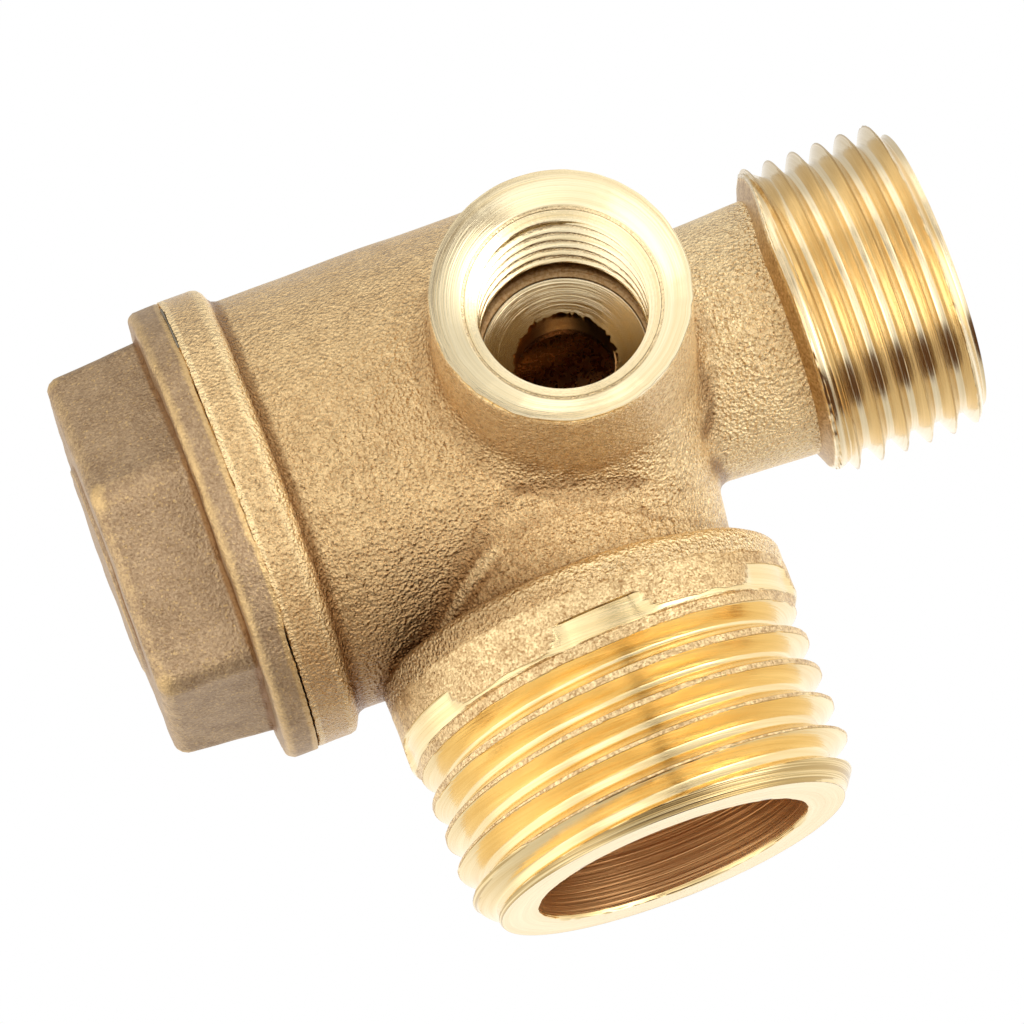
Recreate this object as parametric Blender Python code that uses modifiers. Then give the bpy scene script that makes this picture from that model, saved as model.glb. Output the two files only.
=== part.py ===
"""Three-way non-return valve of a small air compressor, modelled piece by piece.

A forged body carries the tank port, the inlet port and the unloader boss. A hexagonal cap
closes the fourth end over a sealing ring, and guides a sprung poppet whose rubber disc
closes on a seat lip turned in the body. Metres, +Z up: the valve stands on the flat end of
its tank port, the inlet points to +X and the unloader boss to -Y.
"""

import math

import bmesh
import bpy
from mathutils import Matrix, Vector

# Facets round the large and the small turned forms
LARGE_STEPS = 56
SMALL_STEPS = 40
ARC_POINTS = 4
BARREL_END_POINTS = 9

# Clearance that neighbouring pieces keep
GAP = 0.0003

# Barrel: the chamber's wall, from the cap joint to its rounded far end
JOINT_TO_TANK_AXIS = 0.0147
COLLAR_RADIUS = 0.0122
COLLAR_WIDTH = 0.0024
COLLAR_ROUND = 0.0007
COLLAR_FILLET = 0.0009
BARREL_RADIUS = 0.0112
BARREL_PAST_TANK_AXIS = 0.0088
BARREL_END_ROUND = 0.0042

# Fillets of the forging, where one form runs into the next
INLET_FILLET = 0.0014
TANK_FILLET = 0.0016
BOSS_FILLET = 0.0012
FILLET_POINTS = 5
FILLET_ROOT = 0.0008
FILLET_SINK = 0.0001

# Chamber: the bore that the poppet moves in, with the seat lip at its end
CHAMBER_RADIUS = 0.00875
CHAMBER_PAST_TANK_AXIS = -0.0015
SEAT_HEIGHT = 0.0012
SEAT_WALL = 0.0010
CAP_THREAD_RADIUS = 0.0094
CAP_THREAD_LENGTH = 0.0042
GASKET_RECESS_RADIUS = 0.0108
GASKET_RECESS_DEPTH = 0.0009

# Inlet port, along +X
INLET_REACH = 0.0238
INLET_NECK_RADIUS = 0.00664
INLET_THREAD_RADIUS = 0.00833
INLET_THREAD_LENGTH = 0.0081
INLET_SHOULDER = 0.0009
INLET_CHAMFER = 0.0006
INLET_BORE_RADIUS = 0.0045
INLET_MOUTH_CHAMFER = 0.0004

# Tank port, along -Z
TANK_REACH = 0.02456
TANK_NECK_RADIUS = 0.0089
TANK_COLLAR_RADIUS = 0.0108
TANK_COLLAR_ROUND = 0.0009
TANK_COLLAR_FILLET = 0.0008
TANK_COLLAR_LENGTH = 0.0026
TANK_THREAD_RADIUS = 0.01048
TANK_THREAD_LENGTH = 0.0111
TANK_CHAMFER = 0.0012
TANK_BORE_RADIUS = 0.0073
TANK_BORE_DEPTH = 0.0136
TANK_MOUTH_CHAMFER = 0.0003

# Passage from the chamber to the tank port
PASSAGE_RADIUS = 0.0027
PASSAGE_WALL = 0.0002

# Unloader boss, along -Y
BOSS_X = 0.0034
BOSS_REACH = 0.01837
BOSS_RADIUS = 0.00655
BOSS_ROUND = 0.0004
BOSS_MOUTH_RADIUS = 0.0050
BOSS_MOUTH_CHAMFER = 0.0006
BOSS_BORE_DEPTH = 0.0100
BOSS_CONE_RADIUS = 0.00432
BOSS_CONE_ANGLE = math.radians(59.0)
BOSS_HOLE_RADIUS = 0.0026

# Hexagonal cap
HEX_ACROSS_FLATS = 0.0190
HEX_LENGTH = 0.0052
HEX_DRAFT = math.radians(4.0)
HEX_ROUND = 0.0007
HEX_FIRST_CORNER = math.radians(-4.6)
PAD_RADIUS = 0.0056
PAD_HEIGHT = 0.0003
FLANGE_WIDTH = 0.0014
FLANGE_ROUND = 0.0006
SPIGOT_WALL = 0.0024
GUIDE_DEPTH = 0.0032

# Poppet, its rubber disc and its spring
SEAL_OVERLAP = 0.0006
SEAL_THICKNESS = 0.0016
SEAL_SUNK = 0.0009
HEAD_RIM = 0.0006
HEAD_FLOOR = 0.0014
SKIRT_LENGTH = 0.0068
SKIRT_WALL = 0.0012
SPRING_WIRE = 0.0007
SPRING_TURNS = 6.5
SPRING_END_TURNS = 1.0
SPRING_POINTS_PER_TURN = 16

# Places of the three axes, with the origin under the middle of the valve
CAP_REACH = JOINT_TO_TANK_AXIS + FLANGE_WIDTH + HEX_LENGTH + GAP + PAD_HEIGHT
TANK_AXIS_X = (CAP_REACH - INLET_REACH) / 2
AXIS_Y = (BOSS_REACH - COLLAR_RADIUS) / 2
AXIS_Z = TANK_REACH
JOINT_X = TANK_AXIS_X - JOINT_TO_TANK_AXIS
CHAMBER_END_X = TANK_AXIS_X + CHAMBER_PAST_TANK_AXIS
SEAT_X = CHAMBER_END_X - SEAT_HEIGHT

ALONG_X = Matrix.Rotation(math.radians(90), 4, "Y")
ALONG_MINUS_X = Matrix.Rotation(math.radians(-90), 4, "Y")
ALONG_MINUS_Y = Matrix.Rotation(math.radians(90), 4, "X")
ALONG_MINUS_Z = Matrix.Rotation(math.radians(180), 4, "X")


def clear_scene():
    """Remove whatever the file holds."""
    for item in list(bpy.data.objects):
        bpy.data.objects.remove(item, do_unlink=True)


def new_collection(name):
    """Return a fresh collection linked to the scene."""
    collection = bpy.data.collections.new(name)
    bpy.context.scene.collection.children.link(collection)
    return collection


def material(name, colour, roughness, metallic):
    """Principled material of one finish."""
    made = bpy.data.materials.new(name)
    made.use_nodes = True
    shader = made.node_tree.nodes["Principled BSDF"]
    shader.inputs["Base Color"].default_value = (*colour, 1.0)
    shader.inputs["Roughness"].default_value = roughness
    shader.inputs["Metallic"].default_value = metallic
    return made


def arc(centre, radius, start, end, steps=ARC_POINTS):
    """Points of an arc in the profile's plane, from one angle in degrees to another."""
    angles = [math.radians(start + (end - start) * i / steps) for i in range(steps + 1)]
    return [(centre[0] + radius * math.cos(a), centre[1] + radius * math.sin(a)) for a in angles]


def turned(name, profile, turn, place, collection, steps=LARGE_STEPS, ring=False):
    """Turn a profile of (radius, height) points round the local Z axis.

    The outer side runs from the top to the bottom. A ring's profile is closed, and any
    other starts and ends on the axis.
    """
    mesh = bpy.data.meshes.new(name)
    count = len(profile)
    edges = [(i, i + 1) for i in range(count - 1)]
    if ring:
        edges.append((count - 1, 0))
    mesh.from_pydata([(r, 0.0, h) for r, h in profile], edges, [])
    item = bpy.data.objects.new(name, mesh)
    item.matrix_world = Matrix.Translation(place) @ turn
    collection.objects.link(item)
    screw = item.modifiers.new("Turn", "SCREW")
    screw.steps = steps
    screw.render_steps = steps
    screw.use_merge_vertices = True
    screw.merge_threshold = 0.000001
    return item


def rod(radius, top, bottom):
    """Profile of a plain cylinder between two heights."""
    return [(0.0, top), (radius, top), (radius, bottom), (0.0, bottom)]


def combine(item, others, operation):
    """Join other solids to a piece, or cut them from it."""
    for other in others:
        boolean = item.modifiers.new(f"{operation.title()} {other.name}", "BOOLEAN")
        boolean.operation = operation
        boolean.solver = "EXACT"
        boolean.object = other
        other.hide_render = True
        other.display_type = "WIRE"


def finish(item, made):
    """Give a piece its material and shade it as a turned part."""
    item.data.materials.clear()
    item.data.materials.append(made)
    item.data.shade_smooth()
    item.data.set_sharp_from_angle(angle=math.radians(35))


def main_axis(x):
    """Point of the valve's main axis at one place along X."""
    return Vector((x, AXIS_Y, AXIS_Z))


def barrel_end_centre():
    """Centre of the barrel's rounded end, as radius and place along X."""
    end = TANK_AXIS_X + BARREL_PAST_TANK_AXIS
    return (BARREL_RADIUS - BARREL_END_ROUND, end - BARREL_END_ROUND)


def inlet_fillet():
    """Centre of the fillet between barrel end and inlet neck, and the angle where they meet."""
    radius, along = barrel_end_centre()
    across = INLET_NECK_RADIUS + INLET_FILLET - radius
    apart = BARREL_END_ROUND + INLET_FILLET
    reach = math.sqrt(apart**2 - across**2)
    return (radius + across, along + reach), math.degrees(math.atan2(reach, across))


def outer_radius(x):
    """Radius of the barrel, its rounded end or the inlet neck at one place along X."""
    radius, along = barrel_end_centre()
    (fillet_radius, fillet_along), meeting = inlet_fillet()
    if x <= along:
        return BARREL_RADIUS
    if x <= along + BARREL_END_ROUND * math.sin(math.radians(meeting)):
        return radius + math.sqrt(BARREL_END_ROUND**2 - (x - along) ** 2)
    if x <= fillet_along:
        return fillet_radius - math.sqrt(INLET_FILLET**2 - (fillet_along - x) ** 2)
    return INLET_NECK_RADIUS


def surface_height(x, across):
    """Height of the barrel's surface over its axis, beside a branch that leaves it."""
    return math.sqrt(max(outer_radius(x) ** 2 - across**2, 0.0))


def saddle(name, x, radius, width, turn, collection):
    """Fillet ring between a round branch and the barrel that it leaves.

    Round the branch, each section runs from the branch's wall through the crease to the
    barrel's surface along a quadratic curve, and closes below both surfaces.
    """
    points = []
    for i in range(LARGE_STEPS):
        angle = 2 * math.pi * i / LARGE_STEPS
        side = (math.cos(angle), math.sin(angle))
        crease = surface_height(x + radius * side[0], radius * side[1])
        foot = surface_height(x + (radius + width) * side[0], (radius + width) * side[1])
        wall = radius - FILLET_SINK
        section = []
        for j in range(FILLET_POINTS + 1):
            t = j / FILLET_POINTS
            out = wall * (1 - t * t) + (radius + width) * t * t
            high = (1 - t) ** 2 * (crease + width) + 2 * t * (1 - t) * crease
            section.append((out, high + t * t * (foot - FILLET_SINK)))
        section.append((radius + width, foot - FILLET_ROOT))
        section.append((radius - FILLET_ROOT, crease - FILLET_ROOT))
        section.append((radius - FILLET_ROOT, crease + width))
        points += [(out * side[0], out * side[1], high) for out, high in section]
    count = FILLET_POINTS + 4
    faces = []
    for i in range(LARGE_STEPS):
        here = i * count
        there = (i + 1) % LARGE_STEPS * count
        for j in range(count):
            k = (j + 1) % count
            faces.append((here + j, here + k, there + k, there + j))
    mesh = bpy.data.meshes.new(name)
    mesh.from_pydata(points, [], faces)
    item = bpy.data.objects.new(name, mesh)
    item.matrix_world = Matrix.Translation(main_axis(x)) @ turn
    collection.objects.link(item)
    return item


def barrel(collection):
    """Everything turned about the main axis: inlet thread and neck, barrel, joint collar."""
    inlet_end = TANK_AXIS_X + INLET_REACH
    thread_start = inlet_end - INLET_THREAD_LENGTH
    collar_end = JOINT_X + COLLAR_WIDTH
    end_centre = barrel_end_centre()
    neck_centre, meeting = inlet_fillet()
    profile = [
        (0.0, inlet_end),
        (INLET_THREAD_RADIUS - INLET_CHAMFER, inlet_end),
        (INLET_THREAD_RADIUS, inlet_end - INLET_CHAMFER),
        (INLET_THREAD_RADIUS, thread_start),
        (INLET_NECK_RADIUS, thread_start - INLET_SHOULDER),
    ]
    profile += arc(neck_centre, INLET_FILLET, 180, 180 + meeting)
    profile += arc(end_centre, BARREL_END_ROUND, meeting, 0, BARREL_END_POINTS)[1:]
    profile += arc((BARREL_RADIUS + COLLAR_FILLET, collar_end + COLLAR_FILLET), COLLAR_FILLET, 180, 232)
    profile += arc((COLLAR_RADIUS - COLLAR_ROUND, collar_end - COLLAR_ROUND), COLLAR_ROUND, 60, 0)
    profile += [(COLLAR_RADIUS, JOINT_X), (0.0, JOINT_X)]
    return turned("barrel_form", profile, ALONG_X, main_axis(0.0), collection)


def tank_port(collection):
    """Tank neck, its collar and the plain cylinder of its thread."""
    thread_start = TANK_REACH - TANK_THREAD_LENGTH
    collar_top = thread_start - TANK_COLLAR_LENGTH
    profile = [
        (0.0, TANK_REACH),
        (TANK_THREAD_RADIUS - TANK_CHAMFER, TANK_REACH),
        (TANK_THREAD_RADIUS, TANK_REACH - TANK_CHAMFER),
        (TANK_THREAD_RADIUS, thread_start),
        (TANK_COLLAR_RADIUS, thread_start - (TANK_COLLAR_RADIUS - TANK_THREAD_RADIUS)),
    ]
    round_centre = (TANK_COLLAR_RADIUS - TANK_COLLAR_ROUND, collar_top + TANK_COLLAR_ROUND)
    profile += arc(round_centre, TANK_COLLAR_ROUND, 0, -90)
    fillet_centre = (TANK_NECK_RADIUS + TANK_COLLAR_FILLET, collar_top - TANK_COLLAR_FILLET)
    profile += arc(fillet_centre, TANK_COLLAR_FILLET, 90, 180)
    profile += [(TANK_NECK_RADIUS, 0.0), (0.0, 0.0)]
    return turned("tank_form", profile, ALONG_MINUS_Z, main_axis(TANK_AXIS_X), collection)


def boss(collection):
    """Unloader boss, rising from the barrel and the root of the inlet neck."""
    profile = [(0.0, BOSS_REACH)]
    profile += arc((BOSS_RADIUS - BOSS_ROUND, BOSS_REACH - BOSS_ROUND), BOSS_ROUND, 90, 0)
    profile += [(BOSS_RADIUS, INLET_NECK_RADIUS / 2), (0.0, INLET_NECK_RADIUS / 2)]
    place = main_axis(TANK_AXIS_X + BOSS_X)
    return turned("boss_form", profile, ALONG_MINUS_Y, place, collection, SMALL_STEPS)


def chamber_cutter(collection):
    """Room inside the barrel, with the cap's thread, the gasket's recess and the seat lip."""
    thread_end = JOINT_X + GASKET_RECESS_DEPTH + CAP_THREAD_LENGTH
    recess = JOINT_X + GASKET_RECESS_DEPTH
    lip = INLET_BORE_RADIUS + SEAT_WALL
    profile = [
        (0.0, SEAT_X),
        (lip, SEAT_X),
        (lip, CHAMBER_END_X),
        (CHAMBER_RADIUS, CHAMBER_END_X),
        (CHAMBER_RADIUS, thread_end),
        (CAP_THREAD_RADIUS, thread_end - (CAP_THREAD_RADIUS - CHAMBER_RADIUS)),
        (CAP_THREAD_RADIUS, recess),
        (GASKET_RECESS_RADIUS, recess),
        (GASKET_RECESS_RADIUS, JOINT_X - 0.001),
        (0.0, JOINT_X - 0.001),
    ]
    return turned("chamber_cut", profile, ALONG_X, main_axis(0.0), collection)


def inlet_cutter(collection):
    """Bore from the inlet's mouth through the seat."""
    mouth = INLET_BORE_RADIUS + INLET_MOUTH_CHAMFER
    end = TANK_AXIS_X + INLET_REACH
    profile = [
        (0.0, end + 0.001),
        (mouth, end + 0.001),
        (mouth, end),
        (INLET_BORE_RADIUS, end - INLET_MOUTH_CHAMFER),
        (INLET_BORE_RADIUS, SEAT_X - 0.001),
        (0.0, SEAT_X - 0.001),
    ]
    return turned("inlet_cut", profile, ALONG_X, main_axis(0.0), collection, SMALL_STEPS)


def tank_cutter(collection):
    """Bore of the tank port, with a blunt drilled end."""
    mouth = TANK_BORE_RADIUS + TANK_MOUTH_CHAMFER
    end = TANK_REACH - TANK_BORE_DEPTH
    profile = [
        (0.0, TANK_REACH + 0.001),
        (mouth, TANK_REACH + 0.001),
        (mouth, TANK_REACH),
        (TANK_BORE_RADIUS, TANK_REACH - TANK_MOUTH_CHAMFER),
        (TANK_BORE_RADIUS, end),
        (0.0, end),
    ]
    return turned("tank_cut", profile, ALONG_MINUS_Z, main_axis(TANK_AXIS_X), collection)


def passage_cutter(collection):
    """Hole from the tank port's bore up into the chamber, beside the seat."""
    from_tank_axis = CHAMBER_PAST_TANK_AXIS - PASSAGE_WALL - PASSAGE_RADIUS
    profile = rod(PASSAGE_RADIUS, TANK_REACH - TANK_BORE_DEPTH / 2, CHAMBER_RADIUS * 0.7)
    place = main_axis(TANK_AXIS_X + from_tank_axis)
    return turned("passage_cut", profile, ALONG_MINUS_Z, place, collection, SMALL_STEPS)


def boss_cutter(collection):
    """Tapped bore of the boss, its drilled cone and the hole through to the inlet bore."""
    cone_end = BOSS_REACH - BOSS_BORE_DEPTH
    cone = (BOSS_CONE_RADIUS - BOSS_HOLE_RADIUS) / math.tan(BOSS_CONE_ANGLE)
    mouth = BOSS_MOUTH_RADIUS
    profile = [
        (0.0, BOSS_REACH + 0.001),
        (mouth, BOSS_REACH + 0.001),
        (mouth, BOSS_REACH),
        (BOSS_CONE_RADIUS, BOSS_REACH - BOSS_MOUTH_CHAMFER),
        (BOSS_CONE_RADIUS, cone_end),
        (BOSS_HOLE_RADIUS, cone_end - cone),
        (BOSS_HOLE_RADIUS, INLET_BORE_RADIUS / 2),
        (0.0, INLET_BORE_RADIUS / 2),
    ]
    place = main_axis(TANK_AXIS_X + BOSS_X)
    return turned("boss_cut", profile, ALONG_MINUS_Y, place, collection, SMALL_STEPS)


def valve_body(parts, cutters, brass):
    """The forging: three turned forms and their fillets run into one, then bored."""
    body = barrel(parts)
    body.name = "valve_body"
    boss_x = TANK_AXIS_X + BOSS_X
    forms = [
        tank_port(cutters),
        boss(cutters),
        saddle("boss_fillet", boss_x, BOSS_RADIUS, BOSS_FILLET, ALONG_MINUS_Y, cutters),
        saddle("tank_fillet", TANK_AXIS_X, TANK_NECK_RADIUS, TANK_FILLET, ALONG_MINUS_Z, cutters),
    ]
    combine(body, forms, "UNION")
    bores = [
        chamber_cutter(cutters),
        tank_cutter(cutters),
        passage_cutter(cutters),
        inlet_cutter(cutters),
        boss_cutter(cutters),
    ]
    combine(body, bores, "DIFFERENCE")
    finish(body, brass)
    return body


def hexagon(collection, start):
    """Drafted hexagon with rounded corners, from inside the flange out to -X."""
    sunk = FLANGE_WIDTH / 2
    depth = HEX_LENGTH + sunk
    root_radius = HEX_ACROSS_FLATS / math.sqrt(3) + sunk * math.tan(HEX_DRAFT)
    end_radius = root_radius - depth * math.tan(HEX_DRAFT)
    mesh = bpy.data.meshes.new("hexagon_form")
    cage = bmesh.new()
    bmesh.ops.create_cone(
        cage, cap_ends=True, segments=6, radius1=root_radius, radius2=end_radius, depth=depth
    )
    corner = Matrix.Rotation(-HEX_FIRST_CORNER, 4, "Z")
    lift = Matrix.Translation((0.0, 0.0, depth / 2 - sunk))
    bmesh.ops.transform(cage, matrix=lift @ corner, verts=cage.verts)
    cage.to_mesh(mesh)
    cage.free()
    item = bpy.data.objects.new("hexagon_form", mesh)
    item.matrix_world = Matrix.Translation(main_axis(start)) @ ALONG_MINUS_X
    collection.objects.link(item)
    bevel = item.modifiers.new("Rounded edges", "BEVEL")
    bevel.width = HEX_ROUND
    bevel.segments = 3
    bevel.limit_method = "ANGLE"
    return item


def hex_cap(parts, cutters, brass):
    """Cap: flange, threaded spigot and the poppet's guide bore, under a hexagon."""
    face = JOINT_X - GAP
    back = face - FLANGE_WIDTH
    spigot_end = JOINT_X + GASKET_RECESS_DEPTH + CAP_THREAD_LENGTH - 2 * GAP
    spigot = CAP_THREAD_RADIUS - GAP
    profile = [(0.0, spigot_end), (spigot - 2 * GAP, spigot_end), (spigot, spigot_end - 2 * GAP)]
    profile += [(spigot, face), (COLLAR_RADIUS, face)]
    profile += arc((COLLAR_RADIUS - FLANGE_ROUND, back + FLANGE_ROUND), FLANGE_ROUND, 0, -90)
    profile += [(0.0, back)]
    cap = turned("hex_cap", profile, ALONG_X, main_axis(0.0), parts)
    end = back - HEX_LENGTH
    pad_profile = rod(PAD_RADIUS, back, end - PAD_HEIGHT)
    pad = turned("pad_form", pad_profile, ALONG_X, main_axis(0.0), cutters, SMALL_STEPS)
    combine(cap, [hexagon(cutters, back), pad], "UNION")
    bore_profile = rod(guide_radius(), spigot_end + 2 * GAP, back - GUIDE_DEPTH)
    bore = turned("guide_cut", bore_profile, ALONG_X, main_axis(0.0), cutters)
    combine(cap, [bore], "DIFFERENCE")
    finish(cap, brass)
    return cap


def guide_radius():
    """Radius of the bore in the cap that the poppet's skirt slides in."""
    return CAP_THREAD_RADIUS - GAP - SPIGOT_WALL


def cap_gasket(parts, fibre):
    """Flat sealing ring in its recess, between the body and the cap's flange."""
    outer = GASKET_RECESS_RADIUS - GAP
    inner = CAP_THREAD_RADIUS + GAP
    top = JOINT_X + GASKET_RECESS_DEPTH - GAP
    bottom = JOINT_X
    profile = [(inner, top), (outer, top), (outer, bottom), (inner, bottom)]
    ring = turned("cap_gasket", profile, ALONG_X, main_axis(0.0), parts, ring=True)
    finish(ring, fibre)
    return ring


def seal_radius():
    """Radius of the rubber disc, which covers the seat lip."""
    return INLET_BORE_RADIUS + SEAT_WALL + SEAL_OVERLAP


def poppet(parts, brass):
    """Piston whose head carries the seal and whose skirt slides in the cap."""
    seal_face = SEAT_X - GAP
    recess = seal_face - SEAL_THICKNESS - GAP
    rim = recess + SEAL_SUNK
    back = recess - HEAD_FLOOR
    recess_radius = seal_radius() + GAP
    head = recess_radius + HEAD_RIM
    skirt = guide_radius() - GAP
    inner = skirt - SKIRT_WALL
    end = back - SKIRT_LENGTH
    profile = [
        (0.0, recess),
        (recess_radius, recess),
        (recess_radius, rim),
        (head, rim),
        (head, back),
        (skirt, back),
        (skirt, end),
        (inner, end),
        (inner, back),
        (0.0, back),
    ]
    piston = turned("poppet", profile, ALONG_X, main_axis(0.0), parts)
    finish(piston, brass)
    return piston


def poppet_seal(parts, rubber):
    """Rubber disc in the poppet's recess."""
    face = SEAT_X - GAP
    profile = rod(seal_radius(), face, face - SEAL_THICKNESS)
    disc = turned("poppet_seal", profile, ALONG_X, main_axis(0.0), parts, SMALL_STEPS)
    finish(disc, rubber)
    return disc


def spring_path(start, end, radius):
    """Points of a compression spring with closed end turns, along +X."""
    total = SPRING_TURNS + 2 * SPRING_END_TURNS
    count = round(total * SPRING_POINTS_PER_TURN)
    closed = SPRING_WIRE * 1.25
    free = (end - start) - 2 * SPRING_END_TURNS * closed
    points = []
    for i in range(count + 1):
        turn = total * i / count
        low = min(turn, SPRING_END_TURNS)
        high = max(turn - SPRING_END_TURNS - SPRING_TURNS, 0.0)
        middle = turn - low - high
        along = start + (low + high) * closed + free * middle / SPRING_TURNS
        angle = 2 * math.pi * turn
        points.append((along, radius * math.cos(angle), radius * math.sin(angle)))
    return points


def return_spring(parts, steel):
    """Coil spring between the cap's guide bore and the back of the poppet's head."""
    guide_bottom = JOINT_X - GAP - FLANGE_WIDTH - GUIDE_DEPTH
    head_back = SEAT_X - 2 * GAP - SEAL_THICKNESS - HEAD_FLOOR
    skirt_inner = guide_radius() - GAP - SKIRT_WALL
    radius = skirt_inner - GAP - SPRING_WIRE / 2
    start = guide_bottom + GAP + SPRING_WIRE / 2
    end = head_back - GAP - SPRING_WIRE / 2
    path = spring_path(start, end, radius)
    curve = bpy.data.curves.new("return_spring", "CURVE")
    curve.dimensions = "3D"
    curve.bevel_depth = SPRING_WIRE / 2
    curve.bevel_resolution = 2
    curve.use_fill_caps = True
    spline = curve.splines.new("POLY")
    spline.points.add(len(path) - 1)
    for point, place in zip(spline.points, path):
        point.co = (*place, 1.0)
    coil = bpy.data.objects.new("return_spring", curve)
    coil.location = main_axis(0.0)
    parts.objects.link(coil)
    curve.materials.append(steel)
    return coil


def main():
    """Build the whole valve."""
    clear_scene()
    parts = new_collection("non_return_valve")
    cutters = new_collection("forms_and_cutters")
    forged = material("forged_brass", (0.62, 0.42, 0.17), 0.45, 1.0)
    dark = material("dark_brass", (0.42, 0.29, 0.13), 0.50, 1.0)
    fibre = material("sealing_ring", (0.30, 0.32, 0.34), 0.80, 0.0)
    turned_brass = material("turned_brass", (0.80, 0.58, 0.24), 0.25, 1.0)
    rubber = material("black_rubber", (0.03, 0.03, 0.03), 0.70, 0.0)
    steel = material("spring_steel", (0.60, 0.60, 0.62), 0.30, 1.0)
    valve_body(parts, cutters, forged)
    hex_cap(parts, cutters, dark)
    cap_gasket(parts, fibre)
    poppet(parts, turned_brass)
    poppet_seal(parts, rubber)
    return_spring(parts, steel)


main()
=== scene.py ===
"""Three-way non-return valve of a small air compressor: its looks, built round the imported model.

Lengths in the shape functions are millimetres from the point where the barrel's axis crosses the
tank port's, with x towards the inlet, y away from the unloader boss and z up. They become metres
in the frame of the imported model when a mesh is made.
"""

import math

import bpy
import numpy as np
from bpy.props import FloatProperty, FloatVectorProperty, PointerProperty
from mathutils import Matrix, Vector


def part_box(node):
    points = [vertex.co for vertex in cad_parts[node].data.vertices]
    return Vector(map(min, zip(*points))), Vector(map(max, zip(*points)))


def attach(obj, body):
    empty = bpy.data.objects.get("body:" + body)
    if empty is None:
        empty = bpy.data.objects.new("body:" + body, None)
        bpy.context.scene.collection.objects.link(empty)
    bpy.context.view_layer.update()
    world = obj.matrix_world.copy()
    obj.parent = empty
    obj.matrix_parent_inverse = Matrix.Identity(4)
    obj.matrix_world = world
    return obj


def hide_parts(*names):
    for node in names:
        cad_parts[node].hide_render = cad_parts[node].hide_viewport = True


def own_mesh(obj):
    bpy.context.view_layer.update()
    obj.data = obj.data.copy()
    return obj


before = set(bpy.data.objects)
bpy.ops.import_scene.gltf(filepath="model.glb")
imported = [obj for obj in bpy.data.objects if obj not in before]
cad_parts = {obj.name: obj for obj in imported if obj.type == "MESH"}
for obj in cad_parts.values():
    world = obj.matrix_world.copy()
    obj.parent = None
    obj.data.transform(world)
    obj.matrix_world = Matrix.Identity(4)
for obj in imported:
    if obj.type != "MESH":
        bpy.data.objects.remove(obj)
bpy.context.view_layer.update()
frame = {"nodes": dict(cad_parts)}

bl_info = {
    "name": "Non-return valve",
    "version": (1, 0, 0),
    "blender": (4, 5, 0),
    "location": "3D View > Sidebar > Valve",
    "description": "Adds a three-way brass non-return valve with forged and machined surfaces",
    "category": "Add Mesh",
}

# Place of the axes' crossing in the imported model's frame, in metres
CROSSING = np.array([-0.00095, 0.003085, 0.02456])
MM = 0.001
TURN = 2 * math.pi

# Main axis: joint, collar, barrel and inlet neck
JOINT_X = -14.7
COLLAR_RADIUS = 12.16
COLLAR_END_X = -12.35
COLLAR_FILLET = 0.6
BARREL_RADIUS = 11.2
BARREL_START_X = -20.0
BARREL_END_X = 8.8
BARREL_END_ROUND = 4.2
NECK_RADIUS = 6.62
NECK_TAPER = 0.035
NECK_START_X = 9
NECK_END_X = 15.6
NECK_FILLET = 1.3
CHAMBER_RADIUS = 8.75
CHAMBER_END_X = -1.5
SEAT_X = -2.7
SEAT_RADIUS = 5.5
INLET_BORE = 4.5
CAP_THREAD_RADIUS = 9.4
CAP_THREAD_END_X = -10.5
GASKET_RADIUS = 10.8
GASKET_X = -13.8
PASSAGE_X = -4.4
PASSAGE_RADIUS = 2.7

# Threads: tangent of half of 55 degrees, way walked over the flanks per length of axis, places of
# the first crests and how far they lean
FLANK_SLOPE = math.tan(math.radians(27.5))
FLANK_WAY = 1.6
TANK_FIRST_CREST = 14.7945
TANK_THREAD_TILT = 0.2385
INLET_FIRST_CREST = 16.995
INLET_THREAD_TILT = 0.161

# Inlet thread
INLET_END = 23.8
INLET_CREST = 8.31
INLET_SHOULDER_X = 15.4

# Tank port, with the middles and half widths in degrees of the places where the tool bit deeper
TANK_END = 24.56
TANK_NECK = 8.9
TANK_NECK_TAPER = 0.04
TANK_FILLET = 0.8
TANK_CAST_LOW = 12.9
TANK_COLLAR = 10.8
COLLAR_TO_CREST = 0.42
TANK_STEM = 10.47
TANK_STEM_TOP = 12.0
TANK_BORE = 7.3
TANK_BORE_TOP = 10.96
TANK_BITES = ((-90.0, 15.0), (-158.0, 22.0), (-28.0, 15.0), (60.0, 30.0))
RIDGE_HEIGHT = 0.2

# Unloader boss, with depths from its end
BOSS_X = 3.4
BOSS_END = 18.37
BOSS_RADIUS = 6.5
BOSS_TAPER = 0.02
BOSS_FILLET = 1.15
BOSS_THREAD_TOP = 0.98
BOSS_THREAD_END = 7.6
BOSS_CORE = 4.26
BOSS_ROOT = 4.97
BOSS_HOLE = 2.6
BOSS_HOLE_DEPTH = 13.2
BORE_DROP = 0.3
CONE_RADIUS = 4.2
CONE_DEPTH = 9.42
DRILL_HALF_ANGLE = math.radians(59.0)

# Hexagon cap
FLANGE_RADIUS = 12.16
FLANGE_X = -16.4
FLANGE_DROP = 0.1
FLANGE_FILLET = 0.3
HEX_HALF = 9.5
HEX_END = -21.6
HEX_EDGE = 0.75
HEX_DRAFT = math.radians(4.0)
HEX_CORNER = math.radians(180.0 - 4.6)
PAD_RADIUS = 5.6
PAD_END = -21.82
SPIGOT_RADIUS = 9.1
SPIGOT_END = -10.2
GUIDE_RADIUS = 6.7
GUIDE_END = -19.6

# Return spring: thickness of its wire and its number of turns
SPRING_WIRE = 0.7
SPRING_TURNS = 6.5

# Corners of the grids on which the cast forms are sampled, and the angle of a sharp edge
FORGING_ROOM = (-15.3, -19.0, -13.5), (16.2, 12.8, 12.8)
CAP_ROOM = (-22.3, -12.7, -12.8), (-9.8, 12.7, 12.7)
SHARP_ANGLE = math.radians(40.0)

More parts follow.
